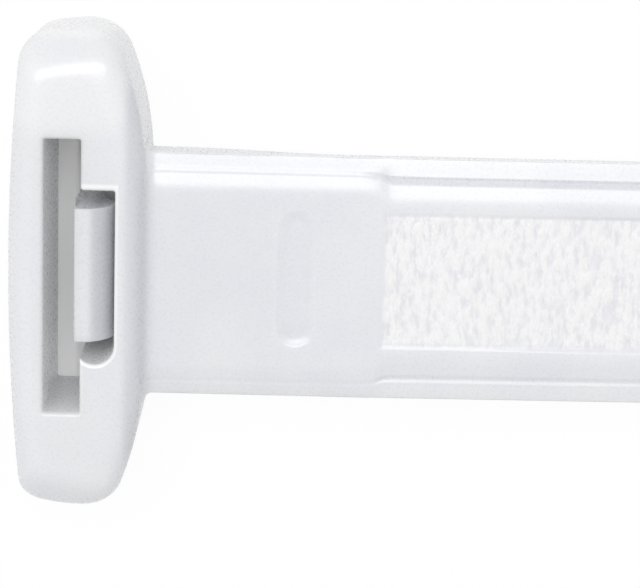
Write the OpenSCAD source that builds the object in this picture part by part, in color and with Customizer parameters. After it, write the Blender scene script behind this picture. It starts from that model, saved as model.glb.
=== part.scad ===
// Heavy duty cable tie, moulded in one piece. Sizes are in millimetres.
// The strap runs along X, its width is along Y, and the head stands on its exit face at z = 0.

/* [Head] */
// Length of the head across the strap, along Y
head_w = 25.3; // [22:0.1:30]
// Depth of the head, from the exit face to the entry face
head_t = 8; // [7:0.1:11]
// Thickness of the outer wall beside the slot
outer_wall = 1.95; // [1.2:0.05:3]
// Thickness of the wall between the pawl pocket and the strap
root_wall = 1.25; // [1:0.05:3]
// Rounding of the entry face's long edges
face_round = 1.2; // [0.5:0.05:1.6]
// Rounding of the entry face at the two ends of the head
end_round = 2; // [1:0.05:2]
// Rounding of the exit face's edges
exit_round = 0.5; // [0.2:0.05:0.6]

/* [Slot and pawl] */
// Width of the slot that the strap passes through
slot_w = 1.9; // [1.8:0.05:2.6]
// Length of the slot along Y
slot_l = 14.3; // [13.6:0.1:16]
// Bevel round the mouth of the slot and the pawl window
mouth_bevel = 0.25; // [0.1:0.05:0.4]
// Reach of the pawl pocket past the slot
pocket_w = 1.85; // [1.6:0.05:2.4]
// Length of the pawl pocket along Y
pocket_l = 9.1; // [8.4:0.1:11]
// Radius of the pocket's round end
pocket_end_r = 1.05; // [0.6:0.05:1.2]
// Width of the pawl along Y
pawl_l = 7; // [5.5:0.1:7.2]
// Depth of the pawl's top below the entry face
pawl_drop = 0.6; // [0.3:0.05:1]
// Reach of the pawl over the slot, beside the strap
pawl_over = 0.35; // [0.2:0.05:0.6]
// Number of teeth on the pawl
pawl_teeth = 3; // [2:1:3]
// Distance from one tooth of the pawl to the next
pawl_pitch = 1.2; // [1:0.05:1.3]

/* [Strap] */
// Width of the strap
strap_w = 12.7; // [11:0.1:13.2]
// Thickness of the strap's rails
strap_t = 1.7; // [1.4:0.05:1.75]
// Depth of the strap's face below the entry face
strap_drop = 1.15; // [1:0.05:2]
// Thickness of the neck where it leaves the head
neck_t = 3; // [2:0.05:3.6]
// Distance from the slot to the end of the neck
neck_l = 15; // [13:0.5:20]
// Distance from the slot to the tip of the tail, along the strap
reach = 222; // [150:1:400]
// Width of the bevels along the toothed side
bevel_w = 0.75; // [0.5:0.05:1.4]
// Depth of the bevels along the toothed side
bevel_t = 0.5; // [0.3:0.05:0.7]
// Width of the gentle crown inside each bevel
crown_w = 0.85; // [0.5:0.05:1]
// Fall of the crown from the strap's face to the bevel
crown_t = 0.1; // [0.05:0.01:0.2]
// Length of the tapered tail
tail_l = 26; // [15:1:40]
// Width of the tail's round tip
tip_w = 6.6; // [5:0.1:9]

/* [Track and teeth] */
// Width of the recessed track between the rails
track_w = 7.3; // [7.3:0.05:9]
// Depth of the track's plain floor
track_d = 0.35; // [0.2:0.05:0.6]
// Distance from the slot to the start of the track
track_start = 16.3; // [15.5:0.1:24]
// Distance from the slot to the first tooth
teeth_start = 36; // [30:0.5:60]
// Distance from one tooth to the next
tooth_pitch = 1.55; // [1.2:0.05:2.2]
// Depth of the teeth below the track's floor
tooth_d = 0.45; // [0.3:0.05:0.6]

/* [Dimple] */
// Distance from the slot to the dimple across the neck
dimple_x = 12; // [8:0.1:13]
// Size of the dimple along the strap
dimple_w = 2; // [1:0.1:3]
// Size of the dimple across the strap
dimple_l = 7.2; // [5:0.1:9]
// Depth of the dimple
dimple_d = 0.15; // [0.1:0.05:0.5]

/* [Hidden] */
$fn = 48;
over = 1; // how far a cutter runs past what it cuts
lap = 0.4; // how far neighbouring pieces of the moulding run into each other

// Head outline, seen from the entry face: a chain of arcs that meet smoothly
left_x = -slot_w / 2 - outer_wall;
right_x = slot_w / 2 + pocket_w + root_wall;
half_w = head_w / 2;
sweep_r = 17; // long part of each shoulder
sweep_a = 21.4; // angle that the long part takes
tip_r = 2.28; // tight part of each shoulder
end_r = 9.8; // slow curve of each end
left_r = 1.7; // corners away from the strap
side_r = 116; // slow curve of the side away from the strap
least_r = 0.15; // tightest corner that the rounding leaves at the back corners
face_tip_r = 1; // tightest corner that the rounding leaves at the shoulders

// Pawl: from a narrow flat nose its back slopes down to the hinge on the pocket's wall
pawl_x = slot_w / 2 - pawl_over; // foot of the nose
pawl_z = head_t - pawl_drop; // top of the nose
nose_w = 0.75; // from the foot of the nose to the start of the slope
nose_h = 0.3; // rounding of the nose
hinge_x = slot_w / 2 + pocket_w;
hinge_z = head_t - 2.5; // top of the hinge
hinge_h = 0.8; // thickness of the hinge
hinge_gap = 0.2; // flat of the hinge beside the pocket's wall
tip_z = 1.1; // free end of the pawl
tip_back = 1.25; // from the pocket's wall to the pawl's free end
bite = 0.3; // how far the pawl's teeth stand out from its foot
root = 0.15; // how far their roots lie behind it

// Strap details
root_a = 55; // steepest slope where the root fillet meets the head
edge = 0.3; // bevel along the back's edges
neck_foot = 2; // thick stretch of the neck beside the head
neck_run = 3; // thin stretch of the neck beside the strap
steep = 0.12; // lean of each tooth's steep flank
rack_end = 20; // distance from the last tooth to the tip
floor_end = 1; // plain track floor past the last tooth

// Strap path: level along the neck, then straight down to where the tail's tip meets the surface
face_z = head_t - strap_drop;
back_z = face_z - strap_t;
run_l = reach - neck_l;
slope_a = asin(back_z / run_l);

cable_tie();

module cable_tie() {
    color([0.93, 0.94, 0.94]) {
        difference() {
            union() {
                head_body();
                neck();
                root_fillet();
                strap();
            }
            slot_and_pocket();
            dimple();
        }
        pawl();
    }
}

// An arc's points, each with the angle that the outline faces there
function arc(centre, r, from, to, steps) = [for (i = [0:steps])
    let (a = from + (to - from) * i / steps)
    [centre[0] + r * cos(a), centre[1] + r * sin(a), a]];

// The centre of a corner that touches two larger circles from inside
function corner_centre(a, ra, b, rb) = let (
    d = norm(b - a), along = (d * d + ra * ra - rb * rb) / (2 * d),
    off = sqrt(ra * ra - along * along), u = (b - a) / d)
    [a[0] + u[0] * along - u[1] * off, a[1] + u[1] * along + u[0] * off];

// Half of the outline, drawn in from the sides and from the ends by two insets
function half_outline(side_in, end_in) = let (
    hw = half_w - end_in,
    sr = sweep_r - side_in,
    tr = max(tip_r - end_in, face_tip_r),
    lr = max(left_r - side_in, least_r),
    sweep = [right_x - sweep_r, hw - tr - (sr - tr) * sin(sweep_a)],
    tip = [sweep[0] + (sr - tr) * cos(sweep_a), hw - tr],
    end = [tip[0], half_w - end_r],
    side = [left_x + side_r, 0],
    corner = corner_centre(end, end_r - end_in - lr, side, side_r - side_in - lr),
    end_a = atan2(corner[1] - end[1], corner[0] - end[0]),
    side_a = atan2(corner[1], corner[0] - side[0]))
    concat(
        arc(sweep, sr, 0, sweep_a, 6),
        arc(tip, tr, sweep_a, 90, 8),
        arc(end, end_r - end_in, 90 + (end_a - 90) / 3, end_a, 2),
        arc(corner, lr, end_a, side_a, 6),
        arc(side, side_r - side_in, side_a + (180 - side_a) / 4, 180 - (180 - side_a) / 4, 2));

// The outline with its mirror image, each point with its height
function ring(side_in, end_in, side_z, end_z) = let (
    half = half_outline(side_in, end_in),
    n = len(half),
    up = [for (p = half) let (k = pow(sin(p[2]), 2)) [p[0], p[1], side_z + (end_z - side_z) * k]])
    concat(up, [for (i = [n - 1:-1:0]) [up[i][0], -up[i][1], up[i][2]]]);

// The rounding of the entry face grows from the sides to the ends; the exit face has a small one
function entry_ring(b) = ring(face_round * (1 - cos(b)), end_round * (1 - cos(b)),
    head_t - face_round * (1 - sin(b)), head_t - end_round * (1 - sin(b)));

function exit_ring(b) = let (in = exit_round * (1 - sin(b)), z = exit_round * (1 - cos(b)))
    ring(in, in, z, z);

module head_body() {
    rings = concat([for (b = [0:30:90]) exit_ring(b)], [for (b = [0:15:90]) entry_ring(b)]);
    n = len(rings[0]);
    skin = [for (k = [0:len(rings) - 2], i = [0:n - 1], t = [0, 1])
        let (a = k * n + i, b = k * n + (i + 1) % n)
        t == 0 ? [a, a + n, b + n] : [a, b + n, b]];
    caps = [[for (i = [0:n - 1]) i], [for (i = [n - 1:-1:0]) (len(rings) - 1) * n + i]];
    polyhedron([for (r = rings, p = r) p], concat(skin, caps));
}

// A bevelled mouth: it widens by the bevel towards the top of the cutter
module mouth(w, l, z_face) {
    intersection() {
        rotate([90, 0, 0])
            linear_extrude(l + 2 * mouth_bevel + over, center = true)
                polygon(mouth_section(w, z_face));
        rotate([90, 0, 90])
            linear_extrude(w + 2 * mouth_bevel + over, center = true)
                polygon(mouth_section(l, z_face));
    }
}

function mouth_section(size, z_face) = let (h = size / 2, b = mouth_bevel) [
    [-h, z_face - b], [h, z_face - b], [h + b, z_face], [h + b, z_face + over],
    [-h - b, z_face + over], [-h - b, z_face]];

// The slot goes right through, and the pawl's pocket opens off it and ends in a half circle
module slot_and_pocket() {
    far = slot_w / 2 + pocket_w;
    end_x = far - pocket_end_r;
    end_y = pocket_end_r - pocket_l / 2;
    deep = head_t + 2 * over;
    translate([-slot_w / 2, -slot_l / 2, -over]) cube([slot_w, slot_l, deep]);
    mouth(slot_w, slot_l, head_t);
    mirror([0, 0, 1]) mouth(slot_w, slot_l, 0);
    translate([0, end_y, -over]) cube([far, pocket_l - pocket_end_r, deep]);
    translate([pocket_w / 2, pocket_end_r / 2, 0])
        mouth(slot_w + pocket_w, pocket_l - pocket_end_r, head_t);
    translate([end_x, end_y, -over]) cylinder(h = deep, r = pocket_end_r);
    translate([end_x, end_y, head_t - mouth_bevel])
        cylinder(h = mouth_bevel + over, r1 = pocket_end_r, r2 = pocket_end_r + mouth_bevel + over);
}

// The pawl, with teeth that face the slot and point against the way out
module pawl() {
    rotate([90, 0, 0]) linear_extrude(pawl_l, center = true) polygon(pawl_outline());
}

function pawl_outline() = concat(
    [for (a = [180:-15:90]) [pawl_x + nose_h + nose_h * cos(a), pawl_z - nose_h + nose_h * sin(a)]],
    [[pawl_x + nose_w, pawl_z - nose_h / 4], [hinge_x - hinge_gap, hinge_z]],
    [[hinge_x + lap, hinge_z], [hinge_x + lap, hinge_z - hinge_h], [hinge_x - lap / 2, hinge_z - hinge_h],
     [hinge_x - tip_back + lap, hinge_z - 2 * hinge_h], [hinge_x - tip_back + lap / 2, tip_z + lap],
     [hinge_x - tip_back, tip_z], [pawl_x + root, tip_z]],
    [for (i = [0:pawl_teeth - 1], p = [0, 1]) let (z = tip_z + i * pawl_pitch)
        p == 0 ? [pawl_x - bite, z + bite] : [pawl_x + root, z + pawl_pitch]]);

// The neck: a level stretch that thins on its back towards the strap
module neck() {
    from = right_x - lap;
    intersection() {
        rotate([90, 0, 90])
            translate([0, face_z, from])
                linear_extrude(neck_l - from) strap_section(neck_t);
        rotate([90, 0, 0])
            linear_extrude(strap_w + 2 * over, center = true)
                polygon([
                    [from - over, face_z + over], [neck_l + over, face_z + over],
                    [neck_l + over, back_z], [neck_l - neck_run, back_z],
                    [right_x + neck_foot, face_z - neck_t - over], [from - over, face_z - neck_t - over]]);
    }
}

// A hollow fillet that carries the head's rounded edge down to the strap's face
module root_fillet() {
    top_x = right_x - face_round * (1 - sin(root_a));
    top_z = head_t - face_round * (1 - cos(root_a));
    r = (top_z - face_z) / (1 - cos(root_a));
    centre = [top_x + r * sin(root_a), face_z + r];
    half = strap_w / 2 - bevel_w;
    intersection() {
        rotate([90, 0, 0])
            linear_extrude(strap_w, center = true)
                polygon(concat(
                    [for (i = [0:6]) let (a = root_a * i / 6) centre - r * [sin(a), cos(a)]],
                    [[top_x - lap, top_z], [top_x - lap, face_z - lap], [centre[0], face_z - lap]]));
        rotate([90, 0, 90])
            linear_extrude(neck_l)
                polygon([
                    [-half, face_z - lap], [half, face_z - lap],
                    [half - over, face_z + over], [-half + over, face_z + over]]);
    }
}

// The strap's section, with its toothed side up at y = 0 and a gentle crown inside each bevel
module strap_section(thick) {
    half = strap_w / 2;
    crown = half - bevel_w - crown_w;
    polygon([
        [-crown, 0], [crown, 0], [half - bevel_w, -crown_t], [half, -bevel_t], [half, -thick + edge],
        [half - edge, -thick], [-half + edge, -thick], [-half, -thick + edge], [-half, -bevel_t],
        [-half + bevel_w, -crown_t]]);
}

// The strap past its neck, drawn level from the neck's end and then sloped
module strap() {
    translate([neck_l, 0, face_z])
        rotate([0, slope_a, 0])
            difference() {
                intersection() {
                    rotate([90, 0, 90]) linear_extrude(run_l) strap_section(strap_t);
                    tail_outline();
                }
                track_cut();
            }
}

// The strap seen from above, with the taper of the tail carried on past the strap's edges
module tail_outline() {
    tip = run_l - tip_w / 2;
    narrowing = (strap_w - tip_w) / 2 / (tail_l - tip_w / 2);
    far = tip - strap_w / narrowing;
    far_y = tip_w / 2 + strap_w;
    translate([0, 0, -strap_t - over])
        linear_extrude(strap_t + 2 * over)
            union() {
                polygon([
                    [-over, -far_y], [far, -far_y], [tip, -tip_w / 2],
                    [tip, tip_w / 2], [far, far_y], [-over, far_y]]);
                translate([tip, 0]) circle(tip_w / 2);
            }
}

// The recessed track and its saw teeth: the steep flank of each tooth faces the head
module track_cut() {
    from = track_start - neck_l;
    first = teeth_start - neck_l;
    count = floor((run_l - rack_end - first) / tooth_pitch);
    last = first + count * tooth_pitch;
    saw = [for (i = [0:count - 1], p = [0, 1])
        p == 0 ? [first + i * tooth_pitch + steep, -track_d - tooth_d]
               : [first + (i + 1) * tooth_pitch, -track_d]];
    rotate([90, 0, 0])
        linear_extrude(track_w, center = true)
            polygon(concat(
                [[from, over], [from, -track_d], [first, -track_d]], saw,
                [[last + floor_end, -track_d], [last + floor_end + over + track_d, over]]));
}

// A shallow oblong dimple across the neck
module dimple() {
    r = dimple_w / 2;
    straight = dimple_l - dimple_w;
    translate([dimple_x, 0, face_z - dimple_d])
        linear_extrude(dimple_d + over) {
            square([dimple_w, straight], center = true);
            for (s = [-1, 1]) translate([0, s * straight / 2]) circle(r);
        }
}
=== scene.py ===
# %% [markdown]
# # A heavy duty cable tie in natural nylon
# A cable tie is one injection moulding: a deep head with a slot and a spring pawl, and a strap
# with a row of saw teeth. It looks milky because natural nylon lets a little light in and
# scatters it. The CAD model gives the frame and the sizes, and this script dresses it.

# %% Frame
import math
import bmesh
import bpy
from mathutils import Matrix, Vector


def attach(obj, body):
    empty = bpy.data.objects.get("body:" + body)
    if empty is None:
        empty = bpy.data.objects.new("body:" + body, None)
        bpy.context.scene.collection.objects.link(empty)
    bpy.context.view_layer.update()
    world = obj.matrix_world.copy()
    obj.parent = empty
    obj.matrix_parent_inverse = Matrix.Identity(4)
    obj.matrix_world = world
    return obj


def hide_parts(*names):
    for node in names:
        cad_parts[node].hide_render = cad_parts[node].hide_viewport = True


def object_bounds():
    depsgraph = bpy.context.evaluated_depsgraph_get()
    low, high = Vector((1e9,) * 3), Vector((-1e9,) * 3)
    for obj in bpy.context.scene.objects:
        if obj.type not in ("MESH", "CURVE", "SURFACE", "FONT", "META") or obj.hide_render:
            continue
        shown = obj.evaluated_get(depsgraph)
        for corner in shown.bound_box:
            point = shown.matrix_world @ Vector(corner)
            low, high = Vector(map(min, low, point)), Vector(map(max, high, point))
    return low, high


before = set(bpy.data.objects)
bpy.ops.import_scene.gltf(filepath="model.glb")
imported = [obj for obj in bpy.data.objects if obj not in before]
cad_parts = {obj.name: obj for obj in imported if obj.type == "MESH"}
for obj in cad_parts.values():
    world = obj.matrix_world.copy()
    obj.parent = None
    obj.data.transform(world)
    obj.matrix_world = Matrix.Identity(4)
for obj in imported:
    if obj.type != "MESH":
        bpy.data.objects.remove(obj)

cad_low, cad_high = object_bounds()
print("CAD box in mm:", [round(v * 1000, 2) for v in (*cad_low, *cad_high)])

# %% [markdown]
# ## Sizes
# The moulding is described in millimetres, as its drawing would be, and every mesh is scaled to
# metres when it is made. The lengths that the CAD box already holds are read from it: the head's
# width and depth, and where its straight side lies.

# %% Sizes in millimetres
MM = 0.001
HEAD_T = cad_high.z / MM
HALF_HEAD = cad_high.y / MM
SLOT_W, SLOT_L = 1.9, 14.3
POCKET_W, POCKET_L, POCKET_R = 1.75, 9.1, 1.0
PAWL_L, PAWL_DROP, PAWL_REACH, PAWL_TEETH = 7.0, 0.6, 0.38, 3
LEFT_X = cad_low.x / MM
POCKET_X = SLOT_W / 2 + POCKET_W
RIGHT_X = POCKET_X + 1.5
FACE_ROUND, END_ROUND, EXIT_ROUND = 1.35, 2.4, 0.5
STRAP_W, STRAP_T = 12.7, 1.7
NECK_T, NECK_L = 3.0, 15.0
FACE_Z = HEAD_T - 1.15
BEVEL_W, BEVEL_T = 0.75, 0.5
CROWN_SLOPE, CROWN_FADE = 0.25, 0.55
LINE_NECK_D, LINE_UPPER_D, LINE_LOWER_D = 0.03, 0.32, 0.08
TRACK_W, TRACK_D, TRACK_SHALLOW_D, TRACK_START = 7.3, 0.35, 0.12, 16.3
TEETH_START, TOOTH_PITCH, TOOTH_D = 36.0, 1.55, 0.45
TAIL_L, TIP_W = 26.0, 6.6
RUN_L = 222.0 - NECK_L
SLOPE = math.asin((FACE_Z - STRAP_T) / RUN_L)
print("strap falls by", round(math.degrees(SLOPE), 2), "degrees past its neck")

# %% [markdown]
# ## Nylon
# The finish is worked out with ordinary Python expressions. A small class wraps a node socket,
# so that adding or multiplying two of them adds a Math node. Colours stay out of it, because a
# Math node would turn them grey: they go through Mix nodes.

# %% A socket that can be used in sums
class Wire:
    """A node socket that takes part in arithmetic."""

    def __init__(self, tree, socket):
        self.tree, self.socket = tree, socket

    def math(self, operation, a, b=0.0):
        node = self.tree.add("ShaderNodeMath", {"operation": operation}, {0: a, 1: b})
        return Wire(self.tree, node.outputs[0])

    def __add__(self, other): return self.math("ADD", self, other)
    def __radd__(self, other): return self.math("ADD", other, self)
    def __sub__(self, other): return self.math("SUBTRACT", self, other)
    def __rsub__(self, other): return self.math("SUBTRACT", other, self)
    def __mul__(self, other): return self.math("MULTIPLY", self, other)
    def __rmul__(self, other): return self.math("MULTIPLY", other, self)
    def size(self): return self.math("ABSOLUTE", self)
    def most(self, other): return self.math("MAXIMUM", self, other)
    def least(self, other): return self.math("MINIMUM", self, other)
    def root(self): return self.math("SQRT", self)

    def step(self, low, high):
        """0 below low, 1 above high, and smooth between them."""
        node = self.tree.add("ShaderNodeMapRange", {"interpolation_type": "SMOOTHSTEP"},
                             {"Value": self, "From Min": low, "From Max": high})
        return Wire(self.tree, node.outputs["Result"])


class Finish:
    """A material and a short way to add nodes to it."""

    def __init__(self, name):
        self.material = bpy.data.materials.new(name)
        self.material.use_nodes = True
        self.nodes = self.material.node_tree.nodes
        self.links = self.material.node_tree.links
        self.nodes.clear()

    def add(self, kind, settings=(), values=()):
        node = self.nodes.new(kind)
        for key, value in dict(settings).items():
            setattr(node, key, value)
        for key, value in dict(values).items():
            if isinstance(value, Wire):
                self.links.new(value.socket, node.inputs[key])
            else:
                node.inputs[key].default_value = value
        return node

    def wire(self, node, output=0):
        return Wire(self, node.outputs[output])

    def blend(self, mask, first, second):
        """A colour that goes from first to second as mask goes from 0 to 1."""
        node = self.add("ShaderNodeMix", {"data_type": "RGBA"}, {0: mask, 6: first, 7: second})
        return Wire(self, node.outputs[2])


print("socket sums ready")

# %% [markdown]
# ## Where the tone changes
# One shader covers the whole moulding, so places on it are found from the position in
# millimetres. Each function below gives a mask: 1 inside its region, 0 outside, and a soft edge
# between. The track follows the strap's slope, and the other regions belong to the head.

# %% Masks for regions of the moulding
def track_mask(x, y, z):
    top = FACE_Z - (x - NECK_L) * math.tan(SLOPE)
    return (x.step(TRACK_START, TRACK_START + 0.6)
            * (1 - y.size().step(TRACK_W / 2 - 0.45, TRACK_W / 2))
            * (z - top).step(-1.2, -1.0))


def far_end_painted_light_mask(x, y):
    """Painted light on the face beyond the slot's far end and on the end wall, but not on the
    rounding between them.
    """
    face = y.step(SLOT_L / 2 - 0.65, SLOT_L / 2 + 1.35) - y.step(10.0, 11.5)
    wall = y.step(12.0, 12.4)
    return (face + wall) * (1 - x.size().step(2.6, 3.6))


def thin_wall_painted_shade_mask(x, y, z):
    """Painted shade on the wall between the pocket and the strap's side."""
    across = x.step(POCKET_X + 0.25, POCKET_X + 0.8) * (1 - x.step(RIGHT_X - 0.2, RIGHT_X + 0.4))
    return across * (1 - y.size().step(9.0, 11.0)) * z.step(HEAD_T - 1.3, HEAD_T - 0.9)


def opening_light_and_shade_mask(x, y, z):
    """The inner walls of the slot and pocket, and the pawl: painted light on the walls and painted
    shade on the pawl's back.
    """
    across = x.step(-SLOT_W / 2 - 0.1, -SLOT_W / 2) * (1 - x.step(POCKET_X + 0.15, POCKET_X + 0.25))
    along = 1 - y.size().step(SLOT_L / 2, SLOT_L / 2 + 0.1)
    return across * along * (1 - z.step(HEAD_T - 0.3, HEAD_T - 0.1))


def pawl_mask(x, y):
    return x.step(0.3, 0.55) * (1 - y.size().step(PAWL_L / 2, PAWL_L / 2 + 0.05))


def pocket_edge_highlight_mask(x, y, z, width=0.13, fade=0.07):
    """A painted highlight: a narrow band on the face round the pocket, from the distance to the
    pocket's outline.
    """
    end_x, end_y = POCKET_X - POCKET_R, POCKET_R - POCKET_L / 2
    past = y.least(end_y) - end_y
    off = x - end_x
    near = ((off * off + past * past).root() - POCKET_R).most((y - POCKET_L / 2) * 0.5)
    return (1 - near.step(width, width + fade)) * z.step(HEAD_T - 0.3, HEAD_T - 0.15)


print("six masks ready")

# %% [markdown]
# ## The nylon itself
# Natural nylon is a milky, faintly cold white with a half gloss. The mould's face is smooth on
# the head and neck, and the strap's track is rougher because that steel is spark eroded. Faint
# clouds in the colour come from the melt's flow. Painted shade makes the thin wall beside the pocket
# and the pawl's back greyer. Painted light makes the walls that face each other in the opening
# whiter, and the face past the slot's far end and the end wall lighter. The pocket's edge has a
# painted highlight: a nearly white second plain shader that loses no light into the plastic.

# %% Tones of the nylon
MOULDED, FLOWED = (0.80, 0.81, 0.84, 1), (0.83, 0.835, 0.855, 1)
# painted light: the face past the slot's far end and the end wall are coloured lighter
FAR_END_PAINTED_LIGHT = (0.88, 0.885, 0.90, 1)
# painted shade: the wall beside the pocket, where the head rounds down to the strap, is coloured
# greyer
THIN_WALL_PAINTED_SHADE = (0.72, 0.73, 0.76, 1)
# painted light: the walls inside the slot and pocket are coloured whiter
OPENING_PAINTED_LIGHT = (0.95, 0.955, 0.97, 1)
# painted shade: the pawl's back, towards its hinge, is coloured greyer
PAWL_BACK_PAINTED_SHADE = (0.71, 0.72, 0.745, 1)
TRACK_LOW, TRACK_HIGH = (0.82, 0.82, 0.85, 1), (0.99, 0.985, 1.0, 1)
# painted highlight: a nearly white band round the pocket's edge
POCKET_EDGE_PAINTED_HIGHLIGHT = (0.96, 0.965, 0.975, 1)
NYLON_IOR = 1.53
SCATTER_MM = 1.2


# %% The nylon finish
def nylon():
    f = Finish("natural_nylon")
    place = f.wire(f.add("ShaderNodeTexCoord"), "Object")
    mm = f.wire(f.add("ShaderNodeVectorMath", {"operation": "SCALE"}, {0: place, "Scale": 1 / MM}))
    parts = f.add("ShaderNodeSeparateXYZ", {}, {0: mm})
    x, y, z = (f.wire(parts, i) for i in range(3))

    def cloud(scale, detail, rough=0.5, stretch=(1.0, 1.0, 1.0)):
        drawn = f.add("ShaderNodeVectorMath", {"operation": "MULTIPLY"}, {0: mm, 1: stretch})
        node = f.add("ShaderNodeTexNoise", {}, {"Vector": f.wire(drawn), "Scale": scale,
                     "Detail": detail, "Roughness": rough})
        return f.wire(node)

    flow = cloud(0.22, 3.0).step(0.3, 0.7)
    pebble = cloud(1.7, 3.0, 0.65, (1.9, 0.7, 1.0))
    grain = cloud(6.0, 2.0)

    track, opening, on_pawl = track_mask(x, y, z), opening_light_and_shade_mask(x, y, z), pawl_mask(x, y)
    colour = f.blend(flow, MOULDED, FLOWED)
    # painted light on the far end of the face and on the end wall
    colour = f.blend(far_end_painted_light_mask(x, y), colour, FAR_END_PAINTED_LIGHT)
    # painted shade on the thin wall beside the pocket
    colour = f.blend(thin_wall_painted_shade_mask(x, y, z), colour, THIN_WALL_PAINTED_SHADE)
    # painted light on the walls inside the opening
    colour = f.blend(opening * (1 - on_pawl), colour, OPENING_PAINTED_LIGHT)
    # painted shade on the pawl's back
    colour = f.blend(opening * on_pawl * x.step(1.1, 1.7), colour, PAWL_BACK_PAINTED_SHADE)
    colour = f.blend(track, colour, f.blend(pebble.step(0.3, 0.7), TRACK_LOW, TRACK_HIGH))
    roughness = 0.24 + grain * 0.08 + track * 0.15
    height = grain * 0.004 + track * pebble * 0.26 + flow * 0.01
    bump = f.add("ShaderNodeBump", {}, {"Height": height, "Strength": 0.6, "Distance": MM})

    milky = f.add("ShaderNodeBsdfPrincipled", {"subsurface_method": "RANDOM_WALK"}, {
        "Base Color": colour, "Roughness": roughness, "Normal": f.wire(bump),
        "IOR": NYLON_IOR, "Subsurface Weight": 0.85, "Subsurface Radius": (1.0, 1.0, 1.0),
        "Subsurface Scale": SCATTER_MM * MM})
    # a plain, nearly white shader paints a highlight round the pocket's edge
    plain = f.add("ShaderNodeBsdfPrincipled", {}, {
        "Base Color": POCKET_EDGE_PAINTED_HIGHLIGHT, "Roughness": 0.3, "IOR": NYLON_IOR})
    both = f.add("ShaderNodeMixShader", {}, {0: pocket_edge_highlight_mask(x, y, z), 1: f.wire(milky),
                                             2: f.wire(plain)})
    f.add("ShaderNodeOutputMaterial", {}, {"Surface": f.wire(both)})
    return f.material


NYLON = nylon()
print("nylon has", len(NYLON.node_tree.nodes), "nodes")

# %% [markdown]
# ## Making and finishing meshes
# Every piece goes through the same few steps: a mesh in millimetres is scaled to metres, its
# modifiers are applied by reading the evaluated object, and the result rides on the one body.
# Weighted normals keep flat faces flat and let the rounded edges between them shade smoothly.

# %% Mesh helpers
def mesh_object(name, points, faces):
    mesh = bpy.data.meshes.new(name)
    mesh.from_pydata([(x * MM, y * MM, z * MM) for x, y, z in points], [], faces)
    ob = bpy.data.objects.new(name, mesh)
    bpy.context.scene.collection.objects.link(ob)
    work = bmesh.new()
    work.from_mesh(mesh)
    bmesh.ops.remove_doubles(work, verts=work.verts, dist=0.001 * MM)
    bmesh.ops.recalc_face_normals(work, faces=work.faces)
    work.to_mesh(mesh)
    work.free()
    return ob


def applied(ob):
    """The object with its modifiers turned into plain mesh."""
    ready = ob.evaluated_get(bpy.context.evaluated_depsgraph_get())
    mesh = bpy.data.meshes.new_from_object(ready)
    ob.modifiers.clear()
    ob.data = mesh
    return ob


def soften(ob, width, angle=32, segments=2):
    """Small moulded radii on the sharp edges, then normals weighted by face size."""
    if width:
        bevel = ob.modifiers.new("edge radius", "BEVEL")
        bevel.width = width * MM
        bevel.segments = segments
        bevel.limit_method = "ANGLE"
        bevel.angle_limit = math.radians(angle)
        bevel.use_clamp_overlap = True
    applied(ob)
    ob.data.shade_smooth()
    ob.data.set_sharp_from_angle(angle=math.radians(50))
    even = ob.modifiers.new("even shading", "WEIGHTED_NORMAL")
    even.keep_sharp = True
    even.weight = 80
    return applied(ob)


def finish_piece(ob):
    ob.data.materials.clear()
    ob.data.materials.append(NYLON)
    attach(ob, "root")
    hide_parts("cable_tie")
    tris = sum(len(p.vertices) - 2 for p in ob.data.polygons)
    print(ob.name, tris, "triangles")
    return ob


def skin(rings, closed_ends=True):
    """Points and faces of a tube through rings with the same number of points."""
    n = len(rings[0])
    points = [p for ring in rings for p in ring]
    faces = [(k * n + i, k * n + (i + 1) % n, (k + 1) * n + (i + 1) % n, (k + 1) * n + i)
             for k in range(len(rings) - 1) for i in range(n)]
    if closed_ends:
        faces += [tuple(range(n))[::-1], tuple((len(rings) - 1) * n + i for i in range(n))]
    return points, faces


# %% [markdown]
# ## The head
# Seen from its entry face, the head is a long rounded block. The side away from the strap is
# almost straight, and the side that carries the strap runs out into two long shoulders. The
# outline is a chain of arcs that meet smoothly. The edge of the entry face is rounded more at
# the two ends than along the sides, so the inset of each ring depends on the way it faces.

# %% Head outline and skin
def arc(cx, cy, r, start, end, steps):
    """Points of an arc in degrees, each with the angle that the outline faces there."""
    turn = [start + (end - start) * i / steps for i in range(steps + 1)]
    return [(cx + r * math.cos(math.radians(a)), cy + r * math.sin(math.radians(a)), a) for a in turn]


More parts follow.
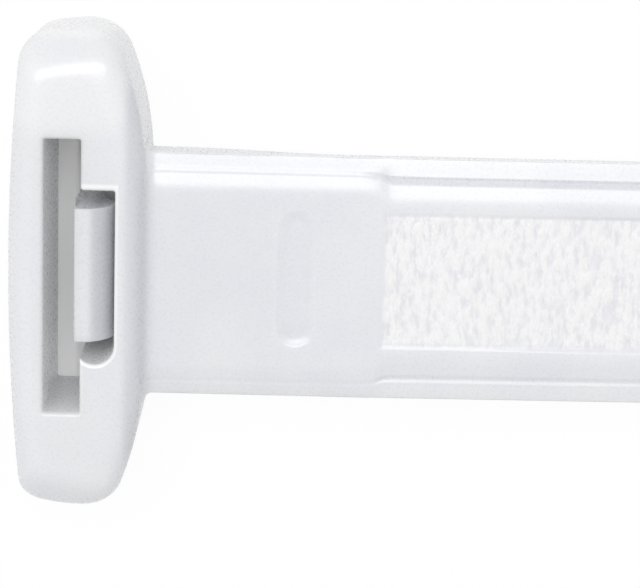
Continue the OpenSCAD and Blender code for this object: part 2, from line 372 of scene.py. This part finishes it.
def half_outline(side_in, end_in):
    """Half of the outline, drawn in from the sides and from the ends by two insets."""
    sweep_r, sweep_a, end_r, side_r = 17.0 - side_in, 21.4, 9.8 - end_in, 116.0 - side_in
    tip_r, left_r = max(2.28 - end_in, 1.0), max(1.7 - side_in, 0.15)
    bend = math.radians(sweep_a)
    tip_y = HALF_HEAD - end_in - tip_r
    sweep = Vector((RIGHT_X - 17.0, tip_y - (sweep_r - tip_r) * math.sin(bend)))
    tip = Vector((sweep.x + (sweep_r - tip_r) * math.cos(bend), tip_y))
    end = Vector((tip.x, HALF_HEAD - 9.8))
    side = Vector((LEFT_X + 116.0, 0))
    gap = side - end
    reach_a, reach_b = end_r - left_r, side_r - left_r
    along = (gap.length ** 2 + reach_a ** 2 - reach_b ** 2) / (2 * gap.length)
    off = math.sqrt(reach_a ** 2 - along ** 2)
    u = gap.normalized()
    corner = end + u * along + Vector((-u.y, u.x)) * off
    end_a = math.degrees(math.atan2(corner.y - end.y, corner.x - end.x))
    side_a = math.degrees(math.atan2(corner.y, corner.x - side.x))
    return (arc(sweep.x, sweep.y, sweep_r, 0, sweep_a, 12)
            + arc(tip.x, tip.y, tip_r, sweep_a, 90, 16)
            + arc(end.x, end.y, end_r, 90 + (end_a - 90) / 6, end_a, 5)
            + arc(corner.x, corner.y, left_r, end_a, side_a, 12)
            + arc(side.x, side.y, side_r, side_a + (180 - side_a) / 8, 180 - (180 - side_a) / 8, 6))


def ring(side_in, end_in, side_z, end_z):
    """The whole outline; its height goes from the sides' to the ends' with the way it faces."""
    half = [(x, y, side_z + (end_z - side_z) * math.sin(math.radians(a)) ** 2)
            for x, y, a in half_outline(side_in, end_in)]
    return half + [(x, -y, z) for x, y, z in reversed(half)]


def head_rings(steps=12):
    rings = []
    for k in range(steps // 2 + 1):
        b = math.pi / steps * k
        inset, z = EXIT_ROUND * (1 - math.sin(b)), EXIT_ROUND * (1 - math.cos(b))
        rings.append(ring(inset, inset, z, z))
    for k in range(steps + 1):
        b = math.pi / 2 * k / steps
        inset, fall = 1 - math.cos(b), 1 - math.sin(b)
        rings.append(ring(FACE_ROUND * inset, END_ROUND * inset,
                          HEAD_T - FACE_ROUND * fall, HEAD_T - END_ROUND * fall))
    return rings


head = mesh_object("head", *skin(head_rings()))
print("head skin", len(head.data.vertices), "points")

# %% [markdown]
# ## The slot and the pawl's pocket
# One opening goes right through the head: the narrow slot for the strap, with the pawl's pocket
# opening off its strap side. The mouths have a small rounded lead-in. The cutter is a loft of
# the opening's outline, grown near each face, and a Boolean takes it out of the head.

# %% Cut the opening
def rounded_corner(corner, before, after, r, steps=5):
    """Points that round one corner of an outline, convex or concave."""
    p, a, b = Vector(corner), Vector(before), Vector(after)
    u, v = (a - p).normalized(), (b - p).normalized()
    start, end = p + u * r, p + v * r
    centre = p + (u + v) * r
    sweep = [start + (end - start) * i / steps for i in range(steps + 1)]
    return [tuple(centre + (q - centre).normalized() * r) for q in sweep]


def opening_outline(grow):
    sx, sy = SLOT_W / 2 + grow, SLOT_L / 2 + grow
    px, py = POCKET_X + grow, POCKET_L / 2 + grow
    end_x, end_y, end_r = POCKET_X - POCKET_R, POCKET_R - POCKET_L / 2, POCKET_R + grow
    meet = math.degrees(math.acos((sx - end_x) / end_r))
    small = 0.1 + grow
    corners = [((-sx, -sy), small), ((sx, -sy), small), None, ((px, py), 0.12 + grow),
               ((sx, py), max(0.16 - grow, 0.02)), ((sx, sy), small), ((-sx, sy), small)]
    spots = [c[0] if c else None for c in corners]
    points = []
    for i, c in enumerate(corners):
        if c is None:
            points += [(x, y) for x, y, _ in arc(end_x, end_y, end_r, -meet, 0, 24)]
            continue
        before = spots[i - 1] or (px, 0)
        after = spots[(i + 1) % len(spots)] or (sx, 0)
        points += rounded_corner(c[0], before, after, c[1])
    return points


def opening_rings(rim=0.2, steps=6):
    levels = [(-1.0, rim)]
    for k in range(steps + 1):
        b = math.pi / 2 * k / steps
        levels.append((rim * (1 - math.cos(b)), rim * (1 - math.sin(b))))
    levels += [(HEAD_T - z, grow) for z, grow in reversed(levels)]
    return [[(x, y, z) for x, y in opening_outline(grow)] for z, grow in levels]


def combine(target, other, operation):
    """Cut the other mesh from the target, or join it to the target, and use it up."""
    step = target.modifiers.new(other.name, "BOOLEAN")
    step.object, step.operation, step.solver = other, operation, "EXACT"
    applied(target)
    bpy.data.objects.remove(other)
    print(target.name, "has", len(target.data.polygons), "faces after", operation.lower())


combine(head, mesh_object("opening", *skin(opening_rings())), "DIFFERENCE")

# %% [markdown]
# ## The pawl
# The pawl is a short lever on a thin moulded hinge. Its nose is rounded so that the strap slides
# past it on the way in, and its teeth face the slot and point against the way out. Its section
# is drawn once and extruded across the pocket, with a gap at each end. It is joined to the head
# for good: light that scatters in the nylon must be able to pass from one to the other.

# %% The pawl's section, extruded
def pawl_section():
    face, wall, top, r, lap = SLOT_W / 2 - PAWL_REACH, POCKET_X, HEAD_T - PAWL_DROP, 0.14, 0.4
    nose = [(face + r + r * math.cos(math.radians(a)), top - r + r * math.sin(math.radians(a)))
            for a in range(180, 89, -15)]
    high, low, tip, pitch = HEAD_T - 2.9, HEAD_T - 3.5, 1.1, 1.2
    hinge = [(face + 0.72, top - 0.02), (face + 0.95, top - 0.12), (wall - 0.7, top - 0.48),
             (wall - 0.35, top - 1.0), (wall - 0.15, top - 1.6), (wall - 0.11, high),
             (wall + lap, high), (wall + lap, low), (wall - 0.2, low), (wall - 0.85, low - 0.8),
             (wall - 1.05, tip + 0.4), (wall - 1.25, tip), (face + 0.15, tip)]
    teeth = []
    for i in range(PAWL_TEETH):
        teeth += [(face - 0.27, tip + 0.3 + i * pitch), (face + 0.15, tip + (i + 1) * pitch)]
    return nose + hinge + teeth


section = pawl_section()
ends = [[(x, s * PAWL_L / 2, z) for x, z in section] for s in (-1, 1)]
pawl = mesh_object("pawl", *skin(ends))
combine(head, soften(pawl, 0.06), "UNION")

# %% [markdown]
# ## The strap
# The strap is one bar whose section changes slowly: a thick neck that runs up the head's wall in
# a smooth step, a shallow oblong dimple, then a recessed track between two rails, and a tail
# that narrows to a round tip. A height rule gives the toothed side at any place, and rings of
# points follow it from the head to the tail's tip. A Boolean joins it to the head.

# %% Rule for the strap's toothed side
def ease(v, low, high):
    t = min(max((v - low) / (high - low), 0.0), 1.0)
    return t * t * (3 - 2 * t)


TEETH = int((RUN_L - TAIL_L + 6 - (TEETH_START - NECK_L)) / TOOTH_PITCH)
TEETH_END = TEETH_START + TEETH * TOOTH_PITCH


def dimple(s, y):
    dx = (s - 12.0) / 1.0
    dy = max(abs(y) - 2.6, 0.0) / 1.0
    bowl = max(1 - dx * dx - dy * dy, 0.0)
    return (0.07 + 0.08 * ease(-y, 2.0, 3.2)) * min(bowl * 1.6, 1.0)


def crown(inside, reach):
    """Fall of the gentle crown beside each bevel: an even slope that fades into the flat face."""
    inside = max(inside, 0.0)
    fade = min(max(1 - (inside - reach) / CROWN_FADE, 0.0), 1.0)
    return -CROWN_SLOPE * (max(reach - inside, 0.0) + CROWN_FADE / 2 * fade * fade)


def top_height(s, y):
    """Height of the toothed side above the strap's face, at a distance along it and across it."""
    edge = STRAP_W / 2 - abs(y)
    bevel = 1 - min(edge / BEVEL_W, 1.0)
    railed = ease(s, TRACK_START - 0.4, TRACK_START + 0.6)
    reach = 0.6 + 0.55 * railed
    z = crown(edge - BEVEL_W, reach) - (BEVEL_T + crown(0.0, reach)) * bevel
    line = (edge - BEVEL_W - 0.05 - 0.32 * railed) / (0.16 + 0.04 * railed)
    line_d = LINE_NECK_D + (LINE_UPPER_D if y > 0 else LINE_LOWER_D) * railed
    z -= line_d * max(1 - line * line, 0.0)
    wall = 1 - ease(abs(y), TRACK_W / 2 - 0.3, TRACK_W / 2)
    along = ease(s, TRACK_START, TRACK_START + 0.4) * (1 - ease(s, TEETH_END + 1, TEETH_END + 1.6))
    deep = ease(s, TEETH_START - 0.1, TEETH_START) * (1 - ease(s, TEETH_END - 0.1, TEETH_END))
    deepen = ease(s, TRACK_START + 4, TEETH_START - 2)
    floor_d = TRACK_SHALLOW_D + (TRACK_D - TRACK_SHALLOW_D) * deepen
    z -= wall * (floor_d * along + TOOTH_D * deep)
    return z - dimple(s, y)


# %% Stations along the strap and places across it
def spread(start, end, count):
    return [start + (end - start) * i / count for i in range(count + 1)]


def stations():
    s = spread(ROOT_SLOPES[-1][0], 4.6, 16) + spread(4.7, 5.3, 5) + spread(5.7, 10.4, 6)
    s += spread(10.9, 13.1, 22) + spread(13.4, TRACK_START - 0.1, 5)
    s += spread(TRACK_START, TRACK_START + 0.4, 8) + spread(TRACK_START + 0.8, TEETH_START - 1, 12)
    s += spread(TEETH_START - 0.1, TEETH_START, 3) + spread(TEETH_START + 1, TEETH_END - 1, 60)
    s += spread(TEETH_END - 0.1, TEETH_END, 3) + spread(TEETH_END + 1, TEETH_END + 1.6, 3)
    end = NECK_L + RUN_L
    s += spread(TEETH_END + 3, end - TIP_W / 2, 8)
    s += [end - TIP_W / 2 * (1 - math.sin(math.pi / 2 * i / 14)) for i in range(1, 15)]
    return s


def width_factor(s):
    left = NECK_L + RUN_L - s
    if left < TIP_W / 2:
        return max(math.sqrt(max(left * (TIP_W - left), 0.0)) / (STRAP_W / 2), 0.001)
    if left < TAIL_L:
        return (TIP_W + (STRAP_W - TIP_W) * (left - TIP_W / 2) / (TAIL_L - TIP_W / 2)) / STRAP_W
    return 1.0


half_places = (spread(0, TRACK_W / 2 - 0.5, 12) + spread(TRACK_W / 2 - 0.3, TRACK_W / 2, 6)
               + [TRACK_W / 2 + 0.3, 4.2] + spread(4.4, 4.8, 4) + spread(4.86, 5.74, 20)
               + [5.8, 6.1, 6.3, 6.35])
across = [-y for y in reversed(half_places[1:])] + half_places


def thickness(s):
    start = RIGHT_X + 2
    if s > NECK_L:
        return STRAP_T
    return NECK_T + (STRAP_T - NECK_T) * ease(s, start, NECK_L - 1)


# Places along the strap near the head's wall, in mm, each with the slope of the step there.
ROOT_SLOPES = [(4.75, 0.0), (4.5, 0.3), (4.3, 0.7), (4.12, 1.4), (3.95, 1.6), (3.7, 0.8), (3.3, 0.1)]


def side_fillet(s, r=0.4):
    d = max(s - RIGHT_X, 0.0)
    return r - math.sqrt(max(r * r - (r - d) ** 2, 0.0)) if d < r else 0.0


def face_fillet(s):
    """Height of the soft step down from the head, summed from its slope at a few places."""
    lift = 0.0
    for (x1, m1), (x0, m0) in zip(ROOT_SLOPES, ROOT_SLOPES[1:]):
        if s >= x1:
            break
        d = x1 - max(s, x0)
        lift += d * (m1 + (m0 - m1) * d / (x1 - x0) / 2)
    return lift


def strap_ring(s):
    k, t, grow, lift = width_factor(s), thickness(s), side_fillet(s), face_fillet(s)
    half = STRAP_W / 2
    stretch = (half * k + grow) / half
    ring = [(y * stretch, top_height(s, y) + lift) for y in across]
    edge = 0.3
    ring += [(half * stretch, -t + edge - grow), ((half - 0.1) * stretch, -t + 0.09 - grow),
             ((half - edge) * stretch, -t - grow), (-(half - edge) * stretch, -t - grow),
             (-(half - 0.1) * stretch, -t + 0.09 - grow), (-half * stretch, -t + edge - grow)]
    if s <= NECK_L:
        return [(s, y, FACE_Z + z) for y, z in ring]
    c, n, d = math.cos(SLOPE), math.sin(SLOPE), s - NECK_L
    return [(NECK_L + d * c - (-z) * n, y, FACE_Z - d * n + z * c) for y, z in ring]


strap = mesh_object("strap", *skin([strap_ring(s) for s in stations()]))
combine(head, strap, "UNION")
head.name = "cable_tie_moulding"
finish_piece(soften(head, 0))

# %% [markdown]
# ## The teeth
# Over a hundred equal teeth stand on the track's floor. A short Geometry Nodes tree sets copies
# of one wedge along a line: the number and the pitch are its inputs, so a finer or longer rack
# is one change. The copies are made real, because instances would be lost on export.

# %% One tooth, repeated by Geometry Nodes
def tooth_mesh():
    low, high = -TRACK_D - TOOTH_D - 0.1, -TRACK_D
    half = TRACK_W / 2 + 0.05
    crest = 0.06
    side = [(0.12, low), (0.12, low + 0.1), (TOOTH_PITCH - crest * 2, high - 0.02),
            (TOOTH_PITCH - crest, high), (TOOTH_PITCH, high - 0.03), (TOOTH_PITCH + 0.1, low)]
    ends = [[(x, s * half, z) for x, z in side] for s in (-1, 1)]
    return mesh_object("tooth", *skin(ends))


def rack_tree():
    tree = bpy.data.node_groups.new("tooth rack", "GeometryNodeTree")
    tree.is_modifier = True
    face = tree.interface
    face.new_socket("Tooth", in_out="INPUT", socket_type="NodeSocketObject")
    face.new_socket("Count", in_out="INPUT", socket_type="NodeSocketInt")
    face.new_socket("Pitch", in_out="INPUT", socket_type="NodeSocketFloat")
    face.new_socket("Finish", in_out="INPUT", socket_type="NodeSocketMaterial")
    face.new_socket("Geometry", in_out="OUTPUT", socket_type="NodeSocketGeometry")
    new, link = tree.nodes.new, tree.links.new
    given, result = new("NodeGroupInput"), new("NodeGroupOutput")
    info, line = new("GeometryNodeObjectInfo"), new("GeometryNodeMeshLine")
    step, copies = new("ShaderNodeCombineXYZ"), new("GeometryNodeInstanceOnPoints")
    real, paint = new("GeometryNodeRealizeInstances"), new("GeometryNodeSetMaterial")
    link(given.outputs["Tooth"], info.inputs["Object"])
    link(given.outputs["Pitch"], step.inputs["X"])
    link(given.outputs["Count"], line.inputs["Count"])
    link(step.outputs[0], line.inputs["Offset"])
    link(line.outputs["Mesh"], copies.inputs["Points"])
    link(info.outputs["Geometry"], copies.inputs["Instance"])
    link(copies.outputs["Instances"], real.inputs["Geometry"])
    link(real.outputs["Geometry"], paint.inputs["Geometry"])
    link(given.outputs["Finish"], paint.inputs["Material"])
    link(paint.outputs["Geometry"], result.inputs["Geometry"])
    return tree


tooth = tooth_mesh()
teeth = mesh_object("teeth", [(0, 0, 0)], [])
rack = teeth.modifiers.new("rack", "NODES")
rack.node_group = rack_tree()
sockets = {s.name: s.identifier for s in rack.node_group.interface.items_tree if s.in_out == "INPUT"}
rack[sockets["Tooth"]] = tooth
rack[sockets["Count"]] = TEETH
rack[sockets["Pitch"]] = TOOTH_PITCH * MM
rack[sockets["Finish"]] = NYLON
applied(teeth)
start = Vector((NECK_L, 0, FACE_Z)) * MM
first = Vector((TEETH_START - NECK_L, 0, 0)) * MM
teeth.data.transform(Matrix.Translation(start) @ Matrix.Rotation(SLOPE, 4, "Y")
                     @ Matrix.Translation(first))
bpy.data.objects.remove(tooth)
finish_piece(teeth)
print(TEETH, "teeth end at", round(TEETH_END, 1), "mm")

# %% [markdown]
# ## Surroundings
# The tie lies on a white table under a big soft light. The table is white to the camera, as on a
# catalogue page, but the patch that shows through the slot stays an ordinary shaded surface, with
# a faint painted light glowing for the camera where it lies under the slot itself.

# %% Table, light and world
def table_finish():
    f = Finish("table_white")
    place = f.wire(f.add("ShaderNodeTexCoord"), "Object")
    parts = f.add("ShaderNodeSeparateXYZ", {}, {0: place})
    x, y = f.wire(parts, 0), f.wire(parts, 1)
    away = (x - 0.0009).size().step(0.0021, 0.0023).most(y.size().step(0.0074, 0.0076))
    # painted light: the floor under the slot glows faintly for the camera
    under_slot_painted_light = 1 - x.step(-0.0001, 0.0004)
    path = f.add("ShaderNodeLightPath")
    seen = f.wire(path, "Is Camera Ray").most(f.wire(path, "Is Glossy Ray"))
    matte = f.add("ShaderNodeBsdfDiffuse", {}, {"Color": (1, 1, 1, 1)})
    page = f.add("ShaderNodeEmission", {}, {"Color": (1, 1, 1, 1), "Strength": 1.0})
    lit = (away * 0.95).most(under_slot_painted_light * 0.2) * seen
    mixed = f.add("ShaderNodeMixShader", {}, {0: lit, 1: f.wire(matte), 2: f.wire(page)})
    f.add("ShaderNodeOutputMaterial", {}, {"Surface": f.wire(mixed)})
    return f.material


floor = mesh_object("table", [(-2500, -2500, 0), (2500, -2500, 0), (2500, 2500, 0), (-2500, 2500, 0)],
                    [(0, 1, 2, 3)])
floor.data.materials.append(table_finish())


def soft_light(name, place, aim, size, power):
    lamp = bpy.data.lights.new(name, "AREA")
    lamp.shape = "ELLIPSE"
    lamp.size, lamp.size_y = size
    lamp.energy = power
    ob = bpy.data.objects.new(name, lamp)
    bpy.context.scene.collection.objects.link(ob)
    ob.location = place
    ob.rotation_euler = (Vector(aim) - Vector(place)).to_track_quat("-Z", "Y").to_euler()
    return ob


soft_light("window", (-0.08, 0.30, 0.88), (0.01, 0, 0), (0.85, 0.45), 4.8)
world = bpy.data.worlds.new("studio")
world.use_nodes = True
world.node_tree.nodes["Background"].inputs["Color"].default_value = (1, 1, 1, 1)
world.node_tree.nodes["Background"].inputs["Strength"].default_value = 0.52
bpy.context.scene.world = world
bpy.context.scene.view_settings.view_transform = "Standard"
print("table, one light and a pale world")

# %% [markdown]
# ## Camera
# The photograph is a close view from a little above the strap's plane, tipped towards the head's
# far end, so the end wall shows above the entry face. The camera's place was worked out from
# where the slot's corners and the strap's edges lie in the picture.

# %% Camera
IMAGE_W = 640
TILT_ACROSS, TILT_ALONG, ROLL = (math.radians(a) for a in (12.16, -0.76, 1.62))
DISTANCE, PX_PER_MM = 120.0, 19.53
SHIFT_RIGHT, SHIFT_UP = -4.65 / PX_PER_MM, 9.52 / PX_PER_MM

back = Vector((math.sin(TILT_ALONG), math.sin(TILT_ACROSS) * math.cos(TILT_ALONG),
               math.cos(TILT_ACROSS) * math.cos(TILT_ALONG)))
level = Vector((0, 1, 0)).cross(back).normalized()
upright = back.cross(level)
right = level * math.cos(ROLL) + upright * math.sin(ROLL)
up = upright * math.cos(ROLL) - level * math.sin(ROLL)
aim = Vector((13.0, 0, HEAD_T))
place = (aim + back * DISTANCE - right * SHIFT_RIGHT - up * SHIFT_UP) * MM

lens = bpy.data.cameras.new("camera")
lens.sensor_width = 36.0
lens.lens = lens.sensor_width * PX_PER_MM * DISTANCE / IMAGE_W
lens.clip_start, lens.clip_end = 0.005, 20.0
camera = bpy.data.objects.new("camera", lens)
bpy.context.scene.collection.objects.link(camera)
camera.matrix_world = Matrix.Translation(place) @ Matrix((right, up, back)).transposed().to_4x4()
bpy.context.scene.camera = camera
print("lens", round(lens.lens, 1), "mm at", [round(v * 1000) for v in place], "mm")
